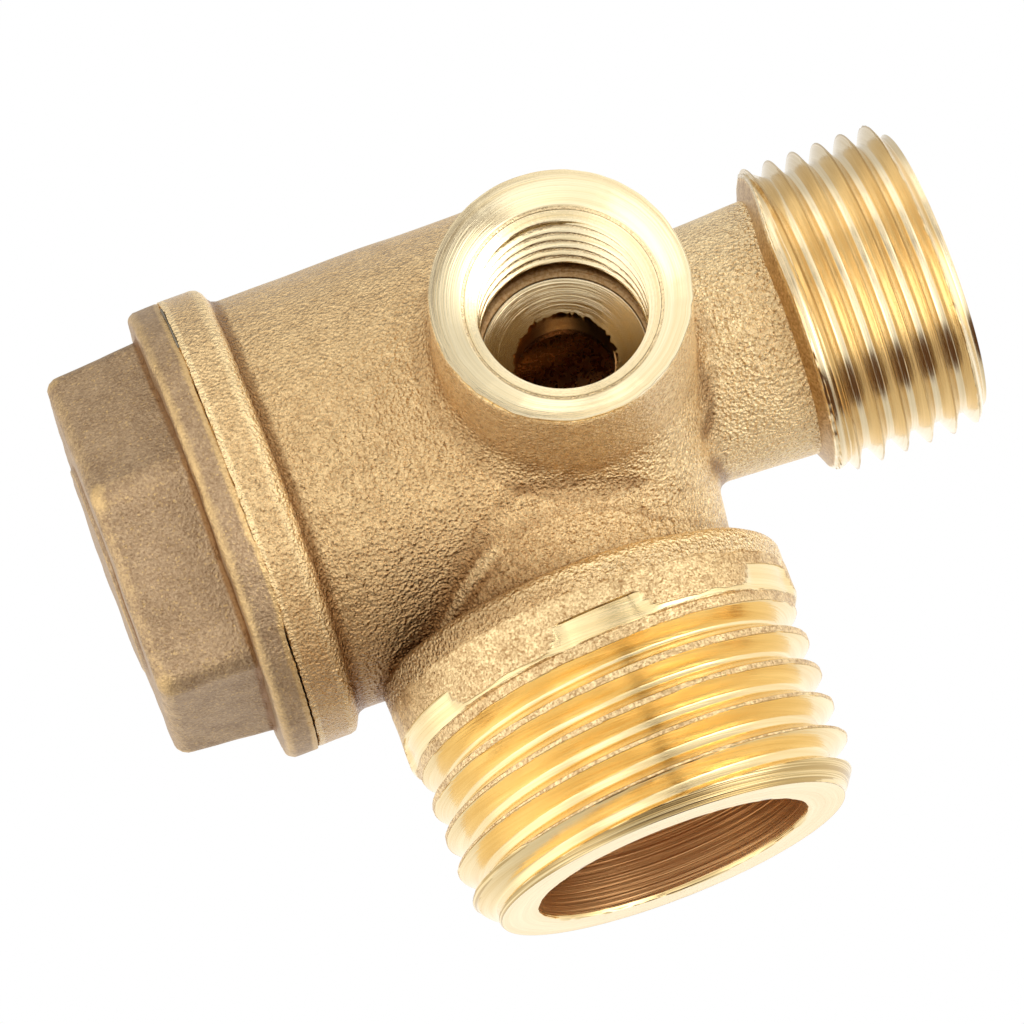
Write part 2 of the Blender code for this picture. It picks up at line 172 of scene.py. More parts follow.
# How the surface is found on a grid: halvings of each edge, pull of a cell's vertex to the mean
# of its crossings, and how many cells it may lie from there
HALVINGS = 6
CELL_HOLD = 0.06
CELL_REACH = 0.9


def smooth_noise(points, size, seed):
    """Soft noise of about -1 to 1 over an array of points: the mean of eight sine waves whose
    directions and phases are drawn once, with wavelengths near the given size."""
    rng = np.random.default_rng(seed)
    total = 0.0
    for _ in range(8):
        way = rng.normal(size=3)
        way *= 2 * math.pi / (size * rng.uniform(0.7, 1.5) * np.linalg.norm(way))
        phase = rng.uniform(0, 2 * math.pi)
        total = total + np.sin(sum(w * p for w, p in zip(way, points)) + phase)
    return total / 3.2


def ragged(angle, count, seed):
    """Uneven edge round a circle, about -1 to 1: straight stretches between values drawn for
    each of a number of evenly spaced angles."""
    values = np.random.default_rng(seed).uniform(-1, 1, count)
    place = np.mod(angle / TURN, 1.0) * count
    low = np.floor(place).astype(int) % count
    share = place - np.floor(place)
    return values[low] * (1 - share) + values[(low + 1) % count] * share


def torn_edge(angle, *waves):
    """Sum of ragged edges, each given by its height, its number of stretches and its seed."""
    return sum(height * ragged(angle, count, seed) for height, count, seed in waves)


def away_from(angle, degrees):
    """How far each angle lies from one given in degrees, the short way round, in radians."""
    return np.abs(np.mod(angle - math.radians(degrees) + math.pi, TURN) - math.pi)


def ease(value, low, high):
    """Smooth step from 0 at the low value to 1 at the high one."""
    t = np.clip((value - low) / (high - low), 0, 1)
    return t * t * (3 - 2 * t)


# Distance fields of the cast forms, negative inside


def disc(radial, along, radius, low, high, edge):
    """Turned disc or bar with rounded edges: how far a point's radius and place along the axis
    stand outside a rectangle that is smaller by the edge's radius all round."""
    out = radial - (radius - edge)
    past = np.abs(along - (low + high) / 2) - ((high - low) / 2 - edge)
    corner = np.hypot(np.maximum(out, 0), np.maximum(past, 0))
    return corner + np.minimum(np.maximum(out, past), 0) - edge


def join(a, b, fillet):
    """Union of two fields with a round fillet: inside the fillet's band the distance is taken
    from a circle that touches both surfaces."""
    u = np.maximum(fillet - a, 0)
    v = np.maximum(fillet - b, 0)
    return np.maximum(fillet, np.minimum(a, b)) - np.hypot(u, v)


def meet(a, b, edge):
    """Part that two fields share, with the edge between them rounded: join turned inside out."""
    return -join(-a, -b, edge)


def forging_skin(x, y, z):
    """Outside of the body as it leaves the dies: turned barrel, collar, neck, tank neck with its
    collar and unloader boss run together with fillets, a faint ridge on the barrel beside the
    tank neck, and a shallow ripple all over."""
    about_x = np.hypot(y, z)
    about_z = np.hypot(x, y)
    about_boss = np.hypot(x - BOSS_X, z)
    shape = disc(about_x, x, BARREL_RADIUS, BARREL_START_X, BARREL_END_X, BARREL_END_ROUND)
    neck_radius = NECK_RADIUS + NECK_TAPER * np.clip(x - NECK_START_X, 0, 6)
    shape = join(shape, disc(about_x, x, neck_radius, -4.0, NECK_END_X, 0.2), NECK_FILLET)
    collar = disc(about_x, x, COLLAR_RADIUS, BARREL_START_X, COLLAR_END_X, 0.6)
    shape = join(shape, collar, COLLAR_FILLET)
    tank = disc(about_z, z, TANK_NECK - TANK_NECK_TAPER * np.clip(-z - 7, 0, 4), -12.5, 2.0, 0.2)
    ridge = RIDGE_HEIGHT * np.exp(-(((shape - 0.6) / 0.24) ** 2) - (tank / 0.6) ** 2)
    ridge = ridge * ease(-x, 2.0, 5.0) * ease(-y, 1.0, 4.0)
    shape = join(shape, tank, TANK_FILLET) - ridge
    boss_radius = BOSS_RADIUS + BOSS_TAPER * (BOSS_END + y)
    boss = disc(about_boss, y, boss_radius, -BOSS_END + 0.28, 2.0, 0.12)
    shape = join(shape, boss, BOSS_FILLET)
    shape = join(shape, disc(about_z, z, TANK_COLLAR - 0.02, -14.0, -10.85, 0.7), 0.35)
    place = (x, y, z)
    shape = shape + 0.03 * smooth_noise(place, 6.0, 5) + 0.015 * smooth_noise(place, 2.0, 6)
    shape = np.maximum(shape, -TANK_CAST_LOW - z)
    return meet(shape, JOINT_X - x, 0.15)


def forging_hollow(x, y, z):
    """Room inside the body: chamber with the seat standing in it, inlet bore, passage, and the
    space that the turned pieces of the tank port and the boss line."""
    about_x = np.hypot(y, z)
    about_z = np.hypot(x, y)
    about_boss = np.hypot(x - BOSS_X, z)
    seat = np.maximum(np.maximum(about_x - SEAT_RADIUS, SEAT_X - x), x - 4.0)
    hollow = np.maximum(np.maximum(about_x - CHAMBER_RADIUS, x - CHAMBER_END_X), -seat)
    bores = (
        (about_x - CAP_THREAD_RADIUS, x - CAP_THREAD_END_X),
        (about_x - GASKET_RADIUS, x - GASKET_X),
        (about_x - INLET_BORE, SEAT_X - 1 - x),
        (np.hypot(x - PASSAGE_X, y) - PASSAGE_RADIUS, z + 6.0),
        (about_z - TANK_BORE - 0.35, z + TANK_BORE_TOP),
        (about_boss - 5.6, y + 7.0),
        (about_boss - 6.0, y + BOSS_END - 1.5),
        (about_boss - BOSS_HOLE, y + 3.0),
    )
    for wall, end in bores:
        hollow = np.minimum(hollow, np.maximum(wall, end))
    return hollow


def forging_field(x, y, z):
    """Skin less the hollow."""
    return np.maximum(forging_skin(x, y, z), -forging_hollow(x, y, z))


def cap_field(x, y, z):
    """Cap as cast: flange with a hexagon whose flats lean inwards towards the end, a low round
    pad on its end, and the spigot with the poppet's guide bore on the other side. The joint face
    lies against the collar: blasting closed the gap in two stretches, and it opens towards the
    bottom."""
    about_x = np.hypot(y, z)
    place = (x, y, z)
    hexagon = HEX_END - x
    for side in range(6):
        facing = HEX_CORNER + math.radians(30 + 60 * side)
        lean = math.tan(HEX_DRAFT) * (x + 16.1)
        flat = y * math.cos(facing) + z * math.sin(facing) - HEX_HALF - lean
        flat = flat + 0.05 * smooth_noise(place, 7.0, 20 + side)
        hexagon = meet(hexagon, flat * math.cos(HEX_DRAFT), HEX_EDGE)
    hexagon = np.maximum(hexagon, x + 15.2)
    pad = disc(about_x, x, PAD_RADIUS, PAD_END, -18.0, 0.22)
    shape = join(hexagon, pad, 0.25)
    turn = np.arctan2(z, y)
    low_gap = ease(turn, math.radians(-142), math.radians(-132)) * ease(-turn, -0.3, 0.2)
    shut = ease(turn, math.radians(-160), math.radians(-157)) * ease(-turn, 1.0, 2.0)
    shut = shut * (1 - low_gap)
    face = JOINT_X + 0.01 - 0.08 * low_gap + 0.09 * shut
    flange = disc(np.hypot(y, z + FLANGE_DROP), x, FLANGE_RADIUS, FLANGE_X, -13.0, 0.5)
    flange = meet(flange, x - face, 0.12)
    shape = join(shape, flange, FLANGE_FILLET)
    shape = shape + 0.025 * smooth_noise(place, 5.0, 8) + 0.015 * smooth_noise(place, 1.8, 9)
    shape = np.minimum(shape, disc(about_x, x, SPIGOT_RADIUS, -15.5, SPIGOT_END, 0.2))
    return np.maximum(shape, -np.maximum(about_x - GUIDE_RADIUS, GUIDE_END - x))


def contour(field, low, high, step):
    """Surface of a distance field on a cubic grid. Each grid edge that the surface crosses gives
    a point and a normal and one quad between the four cells round it; each cell's vertex is where
    the planes through its crossings meet, by least squares, held near their mean."""
    axes = [np.arange(a, b + step, step) for a, b in zip(low, high)]
    values = field(*np.meshgrid(*axes, indexing="ij", sparse=True))
    inside = values < 0
    origin = np.array(low)
    spots, rings = [], []
    for axis in range(3):
        ahead, right, up = np.roll(np.eye(3, dtype=int), -axis, 0)
        start, end = [slice(1, -1)] * 3, [slice(1, -1)] * 3
        start[axis], end[axis] = slice(0, -1), slice(1, None)
        a, b = inside[tuple(start)], inside[tuple(end)]
        place = np.stack(np.nonzero(a != b), 1)
        leaving = a[tuple(place.T)]
        place += 1 - ahead
        near, far = values[tuple(place.T)], values[tuple((place + ahead).T)]
        spot = origin + step * place
        share = near / (near - far)
        lowest, highest = np.zeros(len(share)), np.ones(len(share))
        for _ in range(HALVINGS):
            middle = field(*(spot + step * share[:, None] * ahead).T)
            same = (middle < 0) == (near < 0)
            lowest = np.where(same, share, lowest)
            highest = np.where(same, highest, share)
            share = (lowest + highest) / 2
        spots.append(spot + step * share[:, None] * ahead)
        cells = (place - right - up, place - up, place, place - right)
        ring = np.stack([np.ravel_multi_index(cell.T, values.shape) for cell in cells], 1)
        ring[~leaving] = ring[~leaving][:, ::-1]
        rings.append(ring)
    spots, rings = np.concatenate(spots), np.concatenate(rings)
    slope = [field(*(spots + h).T) - field(*(spots - h).T) for h in 0.01 * np.eye(3)]
    slope = np.stack(slope, 1)
    normal = slope / np.maximum(np.linalg.norm(slope, axis=1), 1e-9)[:, None]
    _, owner = np.unique(rings, return_inverse=True)
    quads, owner = owner.reshape(-1, 4), owner.ravel()
    spot4, normal4 = np.repeat(spots, 4, 0), np.repeat(normal, 4, 0)

    def gather(values):
        """Sum over each cell's crossings."""
        return np.stack([np.bincount(owner, v) for v in values.T], 1)

    count = np.bincount(owner)
    mean = gather(spot4) / count[:, None]
    reach = ((spot4 - mean[owner]) * normal4).sum(1)
    right = gather(normal4 * reach[:, None])
    left = np.stack([gather(normal4 * normal4[:, k : k + 1]) for k in range(3)], 1)
    left += (CELL_HOLD * count)[:, None, None] * np.eye(3)
    shift = np.linalg.solve(left, right[:, :, None])[:, :, 0]
    long = np.linalg.norm(shift, axis=1) / (CELL_REACH * step)
    return mean + shift / np.maximum(long, 1)[:, None], quads


def edge_convexity(field, points, reach):
    """How convex the surface is at each point, as one over the radius in millimetres: the
    field's mean rise a short way off along six directions, from the sum that a flat field has."""
    there = sum(field(*(points + sign * h).T) for h in reach * np.eye(3) for sign in (1, -1))
    return (there - 6 * field(*points.T)) / reach**2


def closed_grid(points):
    """Triangles of a grid whose rows close on themselves and whose last column lies on the first:
    points in one place become one, triangles that this leaves without an area are dropped, and
    the rest are turned so that the solid has a positive volume."""
    rows, columns = points.shape[:2]
    flat = points.reshape(-1, 3)
    near = np.round(flat * 1e4)
    _, first, owner = np.unique(near, axis=0, return_index=True, return_inverse=True)
    index = owner.reshape(rows, columns)
    a, b = index[:, :-1], np.roll(index, -1, 0)[:, :-1]
    c, d = np.roll(index, -1, 0)[:, 1:], index[:, 1:]
    halves = [np.stack([a, b, c], -1).reshape(-1, 3), np.stack([a, c, d], -1).reshape(-1, 3)]
    faces = np.concatenate(halves)
    p, q, r = faces.T
    faces = faces[(p != q) & (q != r) & (r != p)]
    p, q, r = flat[first][faces.T]
    volume = (p * np.cross(q, r)).sum()
    return first, faces if volume > 0 else faces[:, ::-1]


def make_piece(name, points, faces, attributes=None):
    """Mesh object from points in millimetres from the axes' crossing, smooth except at edges
    sharper than a set angle, with one number per vertex for each named attribute."""
    mesh = bpy.data.meshes.new(name)
    mesh.from_pydata((points * MM + CROSSING).tolist(), [], faces.tolist())
    for key, values in (attributes or {}).items():
        layer = mesh.attributes.new(key, "FLOAT", "POINT")
        layer.data.foreach_set("value", np.asarray(values, np.float32).ravel())
    mesh.shade_smooth()
    mesh.set_sharp_from_angle(angle=SHARP_ANGLE)
    return add_object(name, mesh)


def add_object(name, data, axes=None, place=(0, 0, 0)):
    """Puts a new object into the scene: at the origin, or else at a place, with its own x, y and
    z along the given axes."""
    new = bpy.data.objects.new(name, data)
    bpy.context.scene.collection.objects.link(new)
    if axes is not None:
        matrix = np.eye(4)
        matrix[:3, :3] = np.stack(axes, 1)
        matrix[:3, 3] = place
        new.matrix_world = Matrix(matrix.tolist())
    return new


def around(steps):
    """Evenly spaced angles round a full turn, from -180 to 180 degrees, as a row."""
    return np.linspace(-math.pi, math.pi, steps + 1)[None, :]


def about_x_axis(along, radius, angle):
    return along, radius * np.cos(angle), radius * np.sin(angle)


def about_z_axis(along, radius, angle):
    return radius * np.cos(angle), radius * np.sin(angle), -along


def about_boss_axis(along, radius, angle):
    """Round the boss, whose bore was drilled a little below its middle."""
    drop = BORE_DROP * np.clip((6.45 - radius) / 1.4, 0, 1)
    return BOSS_X + radius * np.cos(angle), along - BOSS_END, radius * np.sin(angle) - drop


def turned_piece(name, parts, angle, place, thread=0, skin=None):
    """Closed turned solid from a list of pieces of its profile, each one lengths and radii: each
    row of the grid is a ring of the profile or a turn of its thread, each column one angle,
    and place turns length along the axis, radius and angle into x, y and z. Keeps the distance
    walked down the profile from the start of the threaded piece, so that turning marks can
    follow the surface, and for each row how the tool met it: 0 cast skin, 1 cut, 2 cut coarsely
    and 3 drilled, while -1 marks metal that gets painted shade."""
    rows = [len(part[0]) for part in parts]

    def stack(values):
        """One value or column of them for each piece of the profile, spread over the angles."""
        shapes = [(count, angle.shape[1]) for count in rows]
        return np.concatenate([np.broadcast_to(v, shape) for v, shape in zip(values, shapes)])

    along, radius = [stack(values) for values in zip(*parts)]
    start = sum(rows[:thread])
    stop = start + rows[thread]
    step = np.hypot(np.diff(along.mean(1)), np.diff(radius.mean(1)))
    ring = np.zeros(along.shape)
    ring[:start] = -step[:start][::-1].cumsum()[::-1, None]
    ring[start:stop] = np.abs(along[start:stop] - along[start]) * FLANK_WAY
    ring[stop:] = ring[stop - 1].mean() + step[stop - 1 :].cumsum()[:, None]
    cut = stack(skin or [1] * len(parts))
    points = np.stack(place(along, radius, np.broadcast_to(angle, along.shape)), -1)
    first, faces = closed_grid(points)
    attributes = {"cut": cut.ravel()[first], "ring": ring.ravel()[first]}
    return make_piece(name, points.reshape(-1, 3)[first], faces, attributes)


def thread_groove(turns, pitch, root, sharp):
    """Radius of a 55 degree V thread, given the number of turns from a crest: away from the
    crest, where the flanks would meet in a sharp edge, the radius falls by the run over the
    tangent of half that angle, down to a slightly rounded root."""
    run = np.abs(turns - np.round(turns)) * pitch
    flank = sharp - run / FLANK_SLOPE
    return (flank + root + np.hypot(flank - root, 0.08)) / 2


def thread_rows(start, end, crest, pitch, per_turn):
    """Places along the axis for the rows of a threaded part, held between its start and end:
    they run along the thread, whose first crest is given for each angle, so that crests and
    roots are whole lines of the grid."""
    low = math.floor((start - crest.max()) / pitch * per_turn)
    high = math.ceil((end - crest.min()) / pitch * per_turn)
    rows = np.arange(low, high + 1)[:, None] * (pitch / per_turn)
    return np.clip(crest + rows, start, end)


def column(*values):
    """The values as a column, one per row of a grid."""
    return np.array(values, float)[:, None]


def line(start, end, count):
    """Evenly spaced values as a column, without the last."""
    return np.linspace(start, end, count, endpoint=False)[:, None]


def end_face(at, outer, inner):
    """Profile of a flat face at one place along the axis, from its outer to its inner radius."""
    share = np.linspace(0, 1, 9)[:, None]
    return np.full(share.shape, at), outer * (1 - share) + inner * share


def bore_wall(start, end, radius, count):
    """Profile of a straight bore between two places along the axis."""
    return line(start, end, count), np.full((count, 1), radius)


def tank_thread(pitch, crest):
    """Threaded stem of the tank port. The skin is the least of four radii at each height and
    angle: the cast collar and stem, the cut of the tool that trimmed the collar's edge and bit
    deeper in four places, the helical V groove and the turned chamfer. How far the tool cut
    below the cast skin is kept, so that the material shows bare metal there and cast skin on
    the crests."""
    angle = around(222)
    x, y = np.cos(angle), np.sin(angle)
    crest_low = TANK_FIRST_CREST - pitch / TURN * angle - TANK_THREAD_TILT * x
    low = thread_rows(TANK_STEM_TOP, TANK_END, crest_low, pitch, 43)
    # The collar ends a little before the first crest, and behind it climbs back to its seam
    seam = TANK_FIRST_CREST + pitch / 2 + TANK_THREAD_TILT - COLLAR_TO_CREST
    behind = 14.136 + (seam - 14.136) * ease(angle, 0.3, math.pi)
    below = low - np.where(angle < 0, crest_low - COLLAR_TO_CREST, behind)
    cast = TANK_STEM + (TANK_COLLAR - TANK_STEM) * (1 - ease(below, -0.05, 0.08))
    cast = cast - 0.12 * (1 - ease(low, TANK_STEM_TOP, 12.5))
    spot = (x * cast, y * cast, -low)
    cast = cast - 0.03 * smooth_noise(spot, 6.0, 5) - 0.02 * smooth_noise(spot, 1.5, 7)
    bite = np.zeros_like(angle)
    for centre, half in TANK_BITES:
        edge = (math.radians(half - 5), math.radians(half + 3))
        bite = np.maximum(bite, 1 - ease(away_from(angle, centre), *edge))
    run = np.clip(0.1 - below, 0, 9)
    trim = 10.5 + 0.13 * (1 - bite) + (0.6 - 0.48 * bite) * run + 2.5 * np.clip(run - 1.35, 0, 9)
    trim = trim + 0.015 * ragged(angle, 70, 3) * (1 - bite)
    turns = (low - crest_low) / pitch
    begun = ease(np.floor(turns + 1e-6) - angle / TURN, -0.5, -0.36)
    begun = begun * ease(below, -0.1, 0.15)
    sharp = crest + 0.38 - 0.28 * ease(low, 14.5, 22.9)
    groove = thread_groove(turns, pitch, crest - 1.16, sharp) + 3.0 * (1 - begun)
    burr = torn_edge(angle, (0.05, 74, 4), (0.03, 37, 5))
    chamfer = crest + 0.05 - 0.71 * (low - 22.85) + burr * (1 - ease(low, 22.9, 23.4))
    skin = np.minimum(np.minimum(cast, trim), np.minimum(groove, chamfer))
    torn = torn_edge(angle, (0.04, 111, 9), (0.02, 37, 10))
    face = end_face(TANK_END, skin[-1:] - 0.03, TANK_BORE + 0.05 + torn)
    lip = TANK_BORE + (0.05 + torn) * column(0.7, 0.3, 0.05)
    lip = (TANK_END - column(0.02, 0.05, 0.09), lip)
    bore = bore_wall(TANK_END - 0.3, TANK_BORE_TOP, TANK_BORE, 40)
    back = (column(10.7, 10.6, 10.6, 11.4, 11.9), column(7.3, 7.5, 8.2, 9.9, 10.4))
    bare = np.clip((cast - skin) * 40, 0, 1)
    bare = bare + ease(cast - skin, 0.02, 0.06) * (chamfer <= skin + 0.001)
    parts, marks = [(low, skin), face, lip, bore, back], [bare, 1, 1, 3, 1]
    return turned_piece("tank_thread", parts, angle, about_z_axis, 0, marks)


def inlet_thread(pitch, crest):
    """Threaded end of the inlet: a shoulder that flares from the neck to a ragged edge, a helical
    V groove with sharp crests, a chamfer with a burr, the end face and the bore."""
    angle = around(234)
    crest_x = INLET_FIRST_CREST + pitch / TURN * angle + INLET_THREAD_TILT * np.sin(angle)
    x = thread_rows(14.7, INLET_END, crest_x, pitch, 38)
    neck = NECK_RADIUS + 0.19
    edge_x = INLET_SHOULDER_X + 0.6 * ease(np.cos(angle - math.radians(100)), 0.35, 1.0)
    flare = np.clip((x - edge_x) / 0.54 + 1, 0, 1)
    short = 0.1 + 0.3 * ease(-np.sin(angle), 0.3, 1.0)
    torn = torn_edge(angle, (0.05, 117, 11), (0.04, 39, 13))
    shoulder = neck - 0.06 + (crest - short - neck) * flare
    shoulder = shoulder + torn * ease(x - edge_x, -0.25, 0) + 0.5 * (x > edge_x + 0.16)
    turns = (x - crest_x) / pitch
    root = crest - 0.87 + 0.55 * (1 - ease(x - edge_x, 0.3, 1.4))
    groove = thread_groove(turns, pitch, root, crest + 0.03)
    groove = groove + 2.5 * (1 - ease(x - edge_x, -0.1, 0.12))
    burr = torn_edge(angle, (0.08, 117, 12), (0.06, 39, 14))
    chamfer = crest + 0.02 - 0.72 * (x - 22.95) + burr * (1 - ease(x, 23.0, 23.35))
    skin = np.minimum(np.minimum(shoulder, groove), chamfer)
    face = end_face(INLET_END, skin[-1:] - 0.02, INLET_BORE + 0.35)
    bore = bore_wall(INLET_END - 0.33, 14.8, INLET_BORE - 0.02, 36)
    back = (column(14.65, 14.6, 14.6), column(4.6, 5.0, 6.3))
    # Marks: painted shade on the shoulder, cut metal beyond it, and coarse-cut streaks along the
    # crests
    shade = -0.4 + 1.4 * ease(x - edge_x, -0.12, -0.03)
    shade = shade + 0.9 * (np.abs(turns - np.round(turns)) < 0.04) * (x > edge_x + 0.2)
    parts, marks = [(x, skin), face, bore, back], [shade, 1, 1, 1]
    return turned_piece("inlet_thread", parts, angle, about_x_axis, 0, marks)


def boss_seat(pitch):
    """Turned face and bore of the unloader boss: a rim that dishes inwards and has a ragged outer
    edge, a steep entry, a helical V groove cut into the wall, an undercut, the cone of the drill
    and a hole with a torn edge."""
    angle = around(288)
    crest_deep = BOSS_THREAD_TOP - pitch * (angle - math.pi / 2) / TURN
    deep = thread_rows(BOSS_THREAD_TOP, BOSS_THREAD_END, crest_deep, pitch, 32)
    turns = (deep - crest_deep) / pitch
    run = (0.5 - np.abs(turns - np.round(turns))) * pitch
    wall = np.clip(5.3 - run / FLANK_SLOPE, BOSS_CORE, BOSS_ROOT)
    wall = wall + (4.5 - wall) * ease(deep, 7.2, 7.5)
    # Cut on the crests; in the roots the mark falls below zero, which paints shade there
    cut_and_root_shade = 0.85 - 1.6 * ease(wall, 4.42, 4.78)
    under = (column(7.62, 7.75, 8.3, 9.0, 9.25, 9.38), column(4.6, 4.8, 4.86, 4.86, 4.7, 4.30))
    share = np.linspace(0, 1, 24)[:, None]
    hole_edge = BOSS_HOLE + 0.03 + torn_edge(angle, (0.09, 144, 23), (0.04, 48, 24))
    cone_radius = CONE_RADIUS - (CONE_RADIUS - BOSS_HOLE) * share
    cone_radius = cone_radius + (hole_edge - BOSS_HOLE) * share**8
    cone = (CONE_DEPTH + (CONE_RADIUS - cone_radius) / math.tan(DRILL_HALF_ANGLE), cone_radius)
    lip = column(0.1, 0.7, 1.0)
    lip = (cone[0][-1:] + column(0.1, 0.3, 0.6), hole_edge + (BOSS_HOLE - hole_edge) * lip)
    hole = bore_wall(11.0, BOSS_HOLE_DEPTH, BOSS_HOLE, 8)
    back = (column(BOSS_HOLE_DEPTH, BOSS_HOLE_DEPTH, 10.8, 1.6), column(2.7, 3.3, 5.7, 5.9))
    torn = torn_edge(angle, (0.035, 96, 21), (0.02, 36, 22))
    torn = torn * (1 - 0.7 * ease(np.sin(angle), -0.4, 0.3))
    outer = (column(0.45, 0.30, 0.06), column(6.2, 6.49, 6.51) + torn * column(0, 0.4, 1.0))
    share = np.linspace(0, 1, 16)[:, None]
    rim = (0.35 * share**1.6, (BOSS_RADIUS + torn) * (1 - share) + 5.03 * share)
    mouth = (column(0.38, 0.42, 0.46), column(5.01, 4.92, 4.87))
    entry = line(0.48, 0.80, 8)
    entry = (entry, 4.85 - 1.8 * (entry - 0.48))
    parts = [back, outer, rim, mouth, entry, (deep, wall), under, cone, lip, hole]
    # The undercut's -0.75 paints shade into it
    marks = [1, 1, 1.1, 0.5, 0.82, cut_and_root_shade, -0.75, 1.2, 1, 1]
    return turned_piece("boss_seat", parts, angle, about_boss_axis, 5, marks)


def joint_gasket():
    """Fibre gasket in the joint: a ring in the collar's recess, whose rim reaches the outside
    only where sealant was squeezed out at the top of the front."""
    angle = around(240)
    out = 1 - ease(away_from(angle, 133.0), math.radians(12), math.radians(16))
    rim = 10.75 + out * (COLLAR_RADIUS - 10.75 + 0.04 * ragged(angle, 80, 31))
    spread = 0.015 + 0.025 * out * (1 + 0.9 * ragged(angle, 60, 32))
    edge = (JOINT_X - 0.03 + spread * column(-1, -0.5, 0.5, 1), rim + column(-0.06, 0, 0, -0.06))
    inner_x = column(JOINT_X + 0.02, GASKET_X - 0.03, GASKET_X - 0.03, JOINT_X - 0.05)
    inner = (inner_x, column(10.72, 10.72, 9.2, 9.2))
    return turned_piece("joint_gasket", [edge, inner], angle, about_x_axis)


def coil_spring(low, high):
    """Round wire spring between two corners: its middle line climbs round the axis, closely in
    the first and last turn and evenly between them, and each row of the grid is a circle across
    the wire, shrunk to a point at either end."""
    turn = np.linspace(0, SPRING_TURNS + 2, 205)[:, None]
    turn = np.concatenate([turn[:1], turn, turn[-1:]])
    thick = np.full(turn.shape, SPRING_WIRE / 2)
    thick[[0, -1]] = 0
    tight = np.minimum(turn, 1) + np.maximum(turn - SPRING_TURNS - 1, 0)
    close = 1.25 * SPRING_WIRE
    free = high[0] - low[0] - SPRING_WIRE - 2 * close
    along = low[0] + SPRING_WIRE / 2 + tight * close + (turn - tight) / SPRING_TURNS * free
    across = around(10)
    radius = (high[1] - low[1] - SPRING_WIRE) / 2 + thick * np.cos(across)
    points = np.stack(about_x_axis(along + thick * np.sin(across), radius, TURN * turn), -1)
    first, faces = closed_grid(points)
    return make_piece("coil_spring", points.reshape(-1, 3)[first], faces)


# Materials


class Value:
    """One output of a node. Ordinary arithmetic on it adds Math nodes."""

    def __init__(self, nodes, socket):
        self.nodes, self.socket = nodes, socket

    def maths(self, operation, first, second):
        inputs = {0: first, 1: second}
        return self.nodes.node("ShaderNodeMath", {"operation": operation}, inputs)

    def __add__(self, other):
        return self.maths("ADD", self, other)

    def __sub__(self, other):
        return self.maths("SUBTRACT", self, other)

    def __rsub__(self, other):
        return self.maths("SUBTRACT", other, self)

    def __mul__(self, other):
        return self.maths("MULTIPLY", self, other)

    __radd__, __rmul__ = __add__, __mul__

    def ramp(self, low, high, gain=1.0, curve="LINEAR"):
        """0 below the low value, the gain above the high one, a line or curve between them."""
        settings = {"clamp": True, "interpolation_type": curve}
        inputs = {0: self, 1: low, 2: high, 3: 0.0, 4: gain}
        return self.nodes.node("ShaderNodeMapRange", settings, inputs)


class Nodes:
    """The node tree of a material or world under construction."""

    def __init__(self, owner):
        owner.use_nodes = True
        self.tree = owner.node_tree
        self.tree.nodes.clear()

    def node(self, kind, settings=None, inputs=None, output=0):
        """Adds a node: its settings first, then its sockets' values or links."""
        new = self.tree.nodes.new(kind)
        for key, value in (settings or {}).items():
            setattr(new, key, value)
        for key, value in (inputs or {}).items():
            if isinstance(value, Value):
                self.tree.links.new(value.socket, new.inputs[key])
            else:
                new.inputs[key].default_value = value
        return Value(self, new.outputs[output]) if new.outputs else None

    def mix(self, share, first, second):
        """Colour between two colours by a share."""
        inputs = {0: share}
        for key, colour in ((6, first), (7, second)):
            inputs[key] = colour if isinstance(colour, Value) else (*colour, 1.0)
        return self.node("ShaderNodeMix", {"data_type": "RGBA"}, inputs, output=2)


class Finish(Nodes):
    """A material under construction, with the patterns that it is made of. Their sizes are in
    metres."""

    def __init__(self, name):
        self.material = bpy.data.materials.new(name)
        super().__init__(self.material)
        self.place = self.node("ShaderNodeTexCoord", output="Object")

    def noise(self, size, detail=2.0, roughness=0.5, distortion=0.0):
        """Noise of 0 to 1 whose features are about the given size."""
        inputs = {"Vector": self.place, "Scale": 1 / size, "Detail": detail}
        inputs.update({"Roughness": roughness, "Distortion": distortion})
        return self.node("ShaderNodeTexNoise", None, inputs)

    def cells(self, size, output="Color"):
        """A random grey for each cell of a foam, or with Distance how far its middle is."""
        inputs = {"Vector": self.place, "Scale": 1 / size}
        return self.node("ShaderNodeTexVoronoi", None, inputs, output)

    def rings(self, across, along, detail=3.0):
        """Turning marks: noise that is fine along the profile's length and long round the
        axis, so it makes streaks that run round and fade out."""
        walked = self.attribute("ring") * (MM * along / across)
        inputs = {"Vector": self.place, "W": walked, "Scale": 1 / along, "Detail": detail}
        return self.node("ShaderNodeTexNoise", {"noise_dimensions": "4D"}, inputs)

    def attribute(self, name):
        return self.node("ShaderNodeAttribute", {"attribute_name": name}, output="Fac")

    def coordinate(self, axis):
        return self.node("ShaderNodeSeparateXYZ", None, {0: self.place}, axis)

    def bump(self, height, distance, below=None):
        inputs = {"Height": height, "Distance": distance, "Strength": 1.0}
        if below is not None:
            inputs["Normal"] = below
        return self.node("ShaderNodeBump", None, inputs, output="Normal")

    def finish(self, colour, roughness, normal, metallic=1.0):
        """Joins a Principled shader to the output."""
        inputs = {"Base Color": colour, "Roughness": roughness, "Normal": normal}
        inputs["Metallic"] = metallic
        shader = self.node("ShaderNodeBsdfPrincipled", None, inputs)
        self.node("ShaderNodeOutputMaterial", None, {"Surface": shader})
        return self.material


